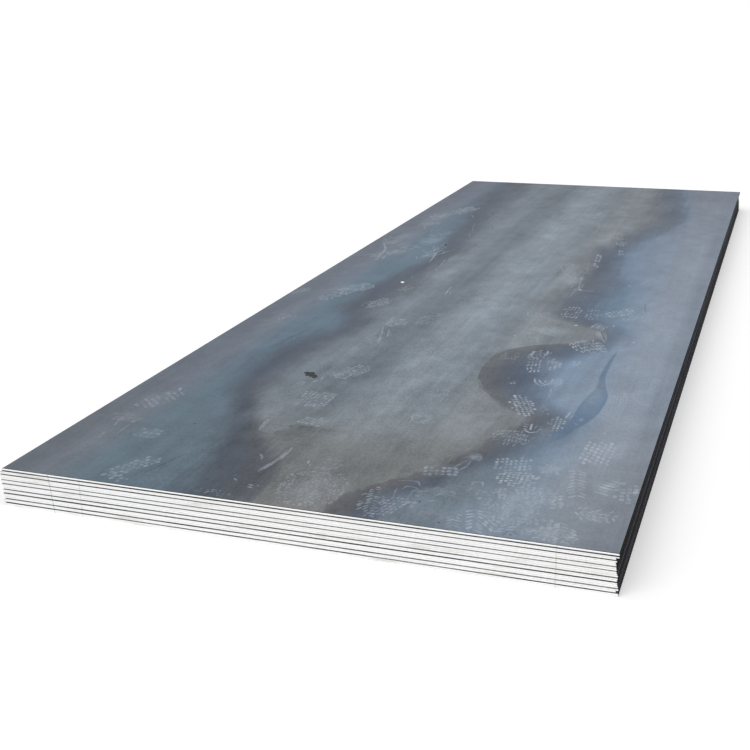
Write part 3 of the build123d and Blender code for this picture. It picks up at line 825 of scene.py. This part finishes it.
def surface_mark(mill_scale, surface):
    """Thin dust and scuffs, and a painted shadow, pale or dark by their tone, through which the mill scale
    still tints.
    """
    made, w, shader, place = new_material("surface_mark")
    scale = use_group(w, mill_scale, Place=place)["Tint"]
    tone = w.node("ShaderNodeAttribute", attribute_name="tone").outputs["Fac"]
    worn = w.smooth(w.noise(place, (90.0, 60.0, 0.0), detail=4.0, roughness=0.65), -0.24, 0.05, 0.25, 1.0)
    worn = w.times(worn, w.smooth(w.noise(place, (26.0, 17.0, 0.0), detail=3.0), -0.2, 0.12, 0.4, 1.15))
    pale = w.mix(w.times(w.maths("MAXIMUM", tone, 0.0), w.times(worn, 0.85)), scale, DUST)
    pale = w.mix(w.smooth(tone, 1.2, 1.8), pale, CHALK)
    dark = w.times(w.maths("MINIMUM", tone, 0.0), w.times(worn, -0.85))
    # Dark tones include the painted shadow beside the chalk fleck
    w.feed(shader.inputs["Base Color"], w.mix(dark, pale, DARK_FLAKE_AND_SHADOW))
    rolled = use_group(w, surface, Place=place)
    shine(w, shader, rolled["Roughness"], rolled["Relief"])
    return made


def flake_black():
    """A dark flake of scale, broken off and lying loose."""
    made, w, shader, place = new_material("flake_black")
    grit = w.add(w.times(w.noise(place, (160.0, 160.0, 0.0), detail=4.0), 0.9), 1.0)
    colour = w.tinted(DARK_FLAKE_AND_SHADOW, grit)
    roughness = w.add(w.times(w.noise(place, (60.0, 60.0, 0.0)), 0.4), 0.55)
    w.fill(shader, {"Base Color": colour, "Roughness": roughness, "Specular IOR Level": FLAKE_SPECULAR})
    return made


def new_object(name, data):
    made = bpy.data.objects.new(name, data)
    bpy.context.scene.collection.objects.link(made)
    return made


def new_piece(name, verts, faces, finish, tones=None):
    """A mesh piece on the top plate that rides with the stack."""
    mesh = bpy.data.meshes.new(name)
    mesh.from_pydata(verts, [], faces)
    if tones:
        mesh.attributes.new("tone", "FLOAT", "POINT").data.foreach_set("value", tones)
    mesh.materials.append(finish)
    piece = new_object(name, mesh)
    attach(piece, "root")


def film(outline, height, start):
    """The points and faces of a thin closed film with this outline, drawn anticlockwise."""
    count = len(outline)
    verts = [(x, y, TOP_Z) for x, y in outline] + [(x, y, TOP_Z + height) for x, y in outline]
    bottom = tuple(start + i for i in reversed(range(count)))
    top = tuple(start + count + i for i in range(count))
    sides = []
    for i in range(count):
        ahead = (i + 1) % count
        sides.append((start + i, start + ahead, start + count + ahead, start + count + i))
    return verts, [bottom, top] + sides


def ribbon_outline(points, width, rng):
    """The outline of a worn stroke along these points, thin at both ends, in short uneven steps."""
    path = [Vector(p) for p in points]
    line = []
    for a, b in zip(path, path[1:]):
        steps = max(2, round((b - a).length / 0.012))
        line += [a.lerp(b, i / steps) for i in range(steps)]
    line.append(path[-1])
    left, right = [], []
    for number, point in enumerate(line):
        ahead = line[min(number + 1, len(line) - 1)] - line[max(number - 1, 0)]
        normal = Vector((-ahead.y, ahead.x)).normalized()
        share = number / (len(line) - 1)
        half = width / 2 * min(1.0, 0.3 + 4.0 * min(share, 1.0 - share)) * rng.uniform(0.75, 1.15)
        left.append(point + normal * half)
        right.append(point - normal * half)
    return [(p.x, p.y) for p in right + left[::-1]]


def surface_marks(finish):
    """Scratches, drips and a painted shadow, each a little higher than the last, and loose flecks, as one
    piece of films.
    """
    rng = random.Random(MARKS_SEED)
    corners = 9
    verts, faces, tones = [], [], []

    def lay(outline, tone, height):
        points, sides = film(outline, height, len(verts))
        verts.extend(points)
        faces.extend(sides)
        tones.extend([tone] * len(points))

    for number, (tone, width, points) in enumerate(SCRATCHES):
        lay(ribbon_outline(points, width / 1000, rng), tone, PRINT_FILM * (1.3 + 0.005 * number))
    for x, y, size, tone in FLECKS:
        turns = [2 * math.pi * i / corners for i in range(corners)]
        reach = [size / 2000 * rng.uniform(0.7, 1.1) for _ in turns]
        outline = [(x + r * math.cos(t), y + 1.4 * r * math.sin(t)) for r, t in zip(reach, turns)]
        lay(outline, tone, PRINT_FILM * 2)
    new_piece("surface_marks", verts, faces, finish, tones)


def soft_smears(finish):
    """Smears that are thickest in the middle and thin out to nothing, as low closed domes."""
    rng = random.Random(SMEARS_SEED)
    corners = 24
    rings = [(1.0, 0.0), (0.8, 0.22), (0.6, 0.5), (0.38, 0.8)]  # (reach, share of the height and tone)
    height = PRINT_FILM * 0.8
    verts, faces, tones = [], [], []
    for x, y, half_x, half_y, turn, tone in SMEARS:
        start = len(verts)
        turned = Matrix.Rotation(math.radians(turn), 2)
        uneven = [rng.uniform(0.82, 1.12) for _ in range(corners)]
        for reach, share in rings:
            for corner in range(corners):
                around = 2 * math.pi * corner / corners
                out = reach * uneven[corner]
                at = turned @ Vector((out * half_x * math.cos(around), out * half_y * math.sin(around)))
                verts.append((x + at.x, y + at.y, TOP_Z + share * height))
                tones.append(tone * share)
        verts.append((x, y, TOP_Z + height))
        tones.append(tone)
        for ring in range(len(rings)):
            low = start + ring * corners
            for corner in range(corners):
                ahead = (corner + 1) % corners
                if ring == len(rings) - 1:
                    faces.append((low + corner, low + ahead, len(verts) - 1))
                else:
                    faces.append((low + corner, low + ahead, low + corners + ahead, low + corners + corner))
        faces.append(tuple(start + corner for corner in reversed(range(corners))))
    new_piece("soft_smears", verts, faces, finish, tones)


def loose_flake(finish):
    verts, faces = film(FLAKE[::-1], FLAKE_HEIGHT, 0)
    new_piece("loose_flake", verts, faces, finish)


def boot_tread_tree():
    """Geometry nodes that stand a lattice of lugs on every print place, trimmed to the sole and worn."""
    tree = bpy.data.node_groups.new("boot_tread", "GeometryNodeTree")
    sockets = [("Places", "Geometry")] + [(label, "Float") for label in SOLES["block"]]
    sockets += [("Film Height", "Float"), ("Seed", "Int"), ("Material", "Material")]
    for label, kind in sockets:
        tree.interface.new_socket(label, in_out="INPUT", socket_type="NodeSocket" + kind)
    tree.interface.new_socket("Prints", in_out="OUTPUT", socket_type="NodeSocketGeometry")
    w = Wiring(tree)
    given = w.node("NodeGroupInput").outputs
    result = w.node("NodeGroupOutput")

    def read(name, kind="FLOAT"):
        made = w.node("GeometryNodeInputNamedAttribute", data_type=kind)
        made.inputs["Name"].default_value = name
        return made.outputs["Attribute"]

    def store(geometry, name, value, kind="FLOAT"):
        made = w.node("GeometryNodeStoreNamedAttribute", data_type=kind, domain="POINT")
        return w.fill(made, {"Name": name, "Geometry": geometry, "Value": value})["Geometry"]

    def chance(low, high, salt):
        made = w.node("FunctionNodeRandomValue", data_type="FLOAT")
        w.feed([i for i in made.inputs if i.name == "Min" and i.type == "VALUE"][0], low)
        w.feed([i for i in made.inputs if i.name == "Max" and i.type == "VALUE"][0], high)
        w.feed(made.inputs["Seed"], w.add(given["Seed"], float(salt)))
        return [o for o in made.outputs if o.enabled and o.type == "VALUE"][0]

    def joined(x, y, z):
        made = w.node("ShaderNodeCombineXYZ")
        for socket, value in zip(made.inputs, (x, y, z)):
            w.feed(socket, value)
        return made.outputs[0]

    def drop(geometry, selection):
        made = w.node("GeometryNodeDeleteGeometry", domain="POINT")
        return w.fill(made, {"Geometry": geometry, "Selection": selection})[0]

    def shifted(geometry, offset):
        made = w.node("GeometryNodeSetPosition")
        return w.fill(made, {"Geometry": geometry, "Offset": offset})[0]

    def stand(points, piece, turn, size):
        made = w.node("GeometryNodeInstanceOnPoints")
        stood = w.fill(made, {"Points": points, "Instance": piece, "Rotation": turn, "Scale": size})[0]
        realized = w.node("GeometryNodeRealizeInstances")
        return w.fill(realized, {"Geometry": stood})[0]

    width = w.times(given["Column Pitch"], LATTICE_COLUMNS - 1.0)
    length = w.times(given["Row Pitch"], LATTICE_ROWS - 1.0)
    lattice = w.node("GeometryNodeMeshGrid")
    w.fill(lattice, {"Vertices X": LATTICE_COLUMNS, "Vertices Y": LATTICE_ROWS})
    w.fill(lattice, {"Size X": width, "Size Y": length})
    at = w.node("GeometryNodeInputPosition").outputs[0]
    x, _, _ = w.split(at)
    bow = w.times(w.times(w.times(x, x), ROW_DROP), given["Row Bow"])
    bowed = shifted(lattice.outputs["Mesh"], joined(0.0, bow, 0.0))
    spots = w.node("GeometryNodeMeshToPoints")
    w.feed(spots.inputs["Mesh"], store(bowed, "sole", at, "FLOAT_VECTOR"))
    scale = joined(read("size"), read("size"), 1.0)
    placed = stand(given["Places"], spots.outputs[0], joined(0.0, 0.0, read("turn")), scale)

    sole_x, sole_y, _ = w.split(read("sole", "FLOAT_VECTOR"))
    sole_x = w.times(sole_x, read("size"))
    climb = w.times(sole_x, read("rise"))
    sole_y = w.add(w.times(sole_y, read("size")), climb)
    across = w.maths("ABSOLUTE", w.maths("DIVIDE", sole_x, read("half_width")))
    along = w.maths("ABSOLUTE", w.maths("DIVIDE", sole_y, read("half_length")))
    outline = w.add(w.maths("POWER", across, 3.0), w.maths("POWER", along, 3.0))
    patchy = w.noise(at, (26.0, 20.0, 0.0), detail=2.0)
    kept = w.take(w.add(read("kept"), w.times(patchy, 1.5)), w.times(outline, 0.15))
    outside = w.maths("GREATER_THAN", outline, 1.0)
    worn_off = w.maths("GREATER_THAN", chance(0.0, 1.0, 1), kept)
    gone = w.maths("MAXIMUM", outside, worn_off)
    plate_x, plate_y, _ = w.split(at)
    from_x = w.maths("ABSOLUTE", w.take(plate_x, TOP_MIDDLE.x))
    from_y = w.maths("ABSOLUTE", w.take(plate_y, TOP_MIDDLE.y))
    off_x = w.maths("GREATER_THAN", from_x, HALF_WIDTH - PRINT_SIDE_MARGIN)
    off_y = w.maths("GREATER_THAN", from_y, HALF_LENGTH - PRINT_END_MARGIN)
    trimmed = drop(placed, w.maths("MAXIMUM", gone, w.maths("MAXIMUM", off_x, off_y)))
    trimmed = store(trimmed, "tone", w.times(read("strength"), chance(0.65, 1.15, 2)))
    climb_x = w.times(w.times(climb, w.maths("SINE", read("turn"))), -1.0)
    climb_y = w.times(climb, w.maths("COSINE", read("turn")))
    jitter_x = w.times(given["Jitter"], chance(-1.0, 1.0, 6))
    jitter_y = w.times(given["Jitter"], chance(-1.0, 1.0, 7))
    climbed = shifted(trimmed, joined(w.add(climb_x, jitter_x), w.add(climb_y, jitter_y), 0.0))

    cone = w.node("GeometryNodeMeshCone", fill_type="NGON")
    w.fill(cone, {"Vertices": LUG_CORNERS, "Side Segments": 1, "Fill Segments": 1})
    lug = w.fill(cone, {"Radius Top": LUG_TOP, "Radius Bottom": LUG_FOOT, "Depth": 1.0})["Mesh"]
    turned = w.node("GeometryNodeTransform")
    squared = w.fill(turned, {"Geometry": lug, "Rotation": (0.0, 0.0, math.pi / LUG_CORNERS)})[0]
    side = w.maths("SIGN", sole_x)
    slant = w.times(w.times(given["Slant"], math.pi / 180), side)
    lug_turn = w.add(w.add(w.add(read("turn"), read("lean")), slant), chance(-0.32, 0.32, 3))
    lug_width = w.times(w.times(given["Lug Width"], read("size")), chance(0.75, 1.1, 4))
    lug_length = w.times(w.times(given["Lug Length"], read("size")), chance(0.75, 1.1, 5))
    size = joined(lug_width, lug_length, w.times(given["Film Height"], chance(0.85, 1.2, 8)))
    lugs = stand(climbed, squared, joined(0.0, 0.0, lug_turn), size)
    finish = w.node("GeometryNodeSetMaterial")
    w.feed(result.inputs[0], w.fill(finish, {"Geometry": lugs, "Material": given["Material"]})[0])
    return tree


def boot_prints(kind, tree, finish, seed):
    """All prints of one kind of sole, as one plain mesh of thin dust lugs on the top plate."""
    places = [Print(*row) for row in TREADS[kind]]
    mesh = bpy.data.meshes.new("boot_prints_" + kind)
    mesh.from_pydata([(place.x, place.y, TOP_Z) for place in places], [], [])
    columns = {
        "turn": [math.radians(place.turn) for place in places],
        "half_width": [place.width / 2 for place in places],
        "half_length": [place.length / 2 for place in places],
        "strength": [place.dust for place in places],
        "kept": [place.kept for place in places],
        "size": [place.size for place in places],
        "rise": [place.rise for place in places],
        "lean": [math.radians(place.lean) for place in places],
    }
    for name, values in columns.items():
        mesh.attributes.new(name, "FLOAT", "POINT").data.foreach_set("value", values)
    piece = new_object(mesh.name, mesh)
    modifier = piece.modifiers.new("boot_tread", "NODES")
    modifier.node_group = tree
    sockets = {item.name: item.identifier for item in tree.interface.items_tree if item.in_out == "INPUT"}
    values = {**SOLES[kind], "Film Height": PRINT_FILM, "Seed": seed, "Material": finish}
    for name, value in values.items():
        modifier[sockets[name]] = value
    graph = bpy.context.evaluated_depsgraph_get()
    shown = piece.evaluated_get(graph)
    made = bpy.data.meshes.new_from_object(shown, preserve_all_data_layers=True, depsgraph=graph)
    piece.modifiers.clear()
    piece.data = made
    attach(piece, "root")


def floor_material():
    """A pale floor that reads as white where nothing shades it, and keeps the stack's soft shadow."""
    made = bpy.data.materials.new("pale_floor")
    w = bare_wiring(made)
    white = (FLOOR_WHITE, FLOOR_WHITE, FLOOR_WHITE, 1.0)
    matte = w.fill(w.node("ShaderNodeBsdfDiffuse"), {"Color": white})[0]
    glow = w.fill(w.node("ShaderNodeEmission"), {"Strength": FLOOR_GLOW})[0]
    seen = w.node("ShaderNodeLightPath").outputs
    both = w.node("ShaderNodeAddShader")
    w.feed(both.inputs[0], matte)
    w.feed(both.inputs[1], glow)
    straight = w.maths("MAXIMUM", seen["Is Camera Ray"], seen["Is Glossy Ray"])
    shown = w.choose(straight, matte, both.outputs[0])
    w.feed(w.node("ShaderNodeOutputMaterial").inputs["Surface"], shown)
    return made


def build_floor():
    mesh = bpy.data.meshes.new("floor")
    corners = [(x * FLOOR_REACH, y * FLOOR_REACH, 0.0) for x, y in ((-1, -1), (1, -1), (1, 1), (-1, 1))]
    mesh.from_pydata(corners, [], [(0, 1, 2, 3)])
    mesh.materials.append(floor_material())
    floor = new_object("floor", mesh)


def build_world():
    """An even pale sky for the light, which the eye and the steel see as white."""
    world = bpy.data.worlds.new("studio")
    bpy.context.scene.world = world
    w = bare_wiring(world)

    def background(strength):
        made = w.node("ShaderNodeBackground")
        return w.fill(made, {"Color": (1.0, 1.0, 1.0, 1.0), "Strength": strength})[0]

    seen = w.node("ShaderNodeLightPath").outputs
    straight = w.maths("MAXIMUM", seen["Is Camera Ray"], seen["Is Glossy Ray"])
    straight = w.maths("MAXIMUM", straight, seen["Is Transmission Ray"])
    shown = w.choose(straight, background(SKY_LIGHT), background(1.0))
    w.feed(w.node("ShaderNodeOutputWorld").inputs["Surface"], shown)


def build_sun():
    """A wide soft light that is as strong at one end of the stack as at the other."""
    lamp = bpy.data.lights.new("key", "SUN")
    lamp.angle = math.radians(SUN_SPREAD)
    lamp.energy = SUN_POWER
    sun = new_object("key", lamp)
    sun.rotation_euler = Vector(SUN_TOWARDS).to_track_quat("-Z", "Y").to_euler()


def build_camera():
    camera = bpy.data.cameras.new("camera")
    camera.sensor_width = SENSOR_MM
    camera.lens = FOCAL_PX / FRAME_PX * SENSOR_MM
    camera.clip_end = SIGHT
    made = new_object("camera", camera)
    turns = ((HEADING, "Z"), (math.pi / 2 - DIP, "X"), (ROLL, "Z"))
    heading, tilt, roll = [Matrix.Rotation(angle, 4, axis) for angle, axis in turns]
    made.matrix_world = Matrix.Translation(EYE) @ heading @ tilt @ roll
    bpy.context.scene.camera = made


def dress_plates(mill_scale, grain, surface):
    """Gives every plate its own steel, with painted shade on its sheared end by the seams above and below it,
    open or close.
    """
    boxes = [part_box(node) for node in PLATES]
    gaps = [upper[0].z - lower[1].z for lower, upper in zip(boxes, boxes[1:])]
    middle_gap = (min(gaps) + max(gaps)) / 2
    open_shades = itertools.cycle(OPEN_SEAM_SHADE)
    # Painted shade at each seam, deeper where the gap is open
    seam_shade = [next(open_shades) if gap > middle_gap else CLOSE_SEAM_SHADE for gap in gaps]
    lips = seam_shade + [0.0]
    feet = [FLOOR_CONTACT_SHADE] + [share * FOOT_SHADE for share in seam_shade]
    for node, lip_share, foot_share in zip(PLATES, lips, feet):
        finish = plate_steel(node, mill_scale, grain, surface, lip_share, foot_share)
        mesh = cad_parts[node].data
        mesh.materials.clear()
        mesh.materials.append(finish)


bpy.context.scene.view_settings.view_transform = "Standard"
GRAIN = rolled_grain_group()
MILL_SCALE = mill_scale_group(GRAIN)
SURFACE = rolled_surface_group()
dress_plates(MILL_SCALE, GRAIN, SURFACE)
MARK = surface_mark(MILL_SCALE, SURFACE)
BOOT_TREAD = boot_tread_tree()
for seed, sole in enumerate(SOLES, start=FIRST_PRINT_SEED):
    boot_prints(sole, BOOT_TREAD, MARK, seed)
soft_smears(MARK)
surface_marks(MARK)
loose_flake(flake_black())
build_floor()
build_world()
build_camera()
build_sun()
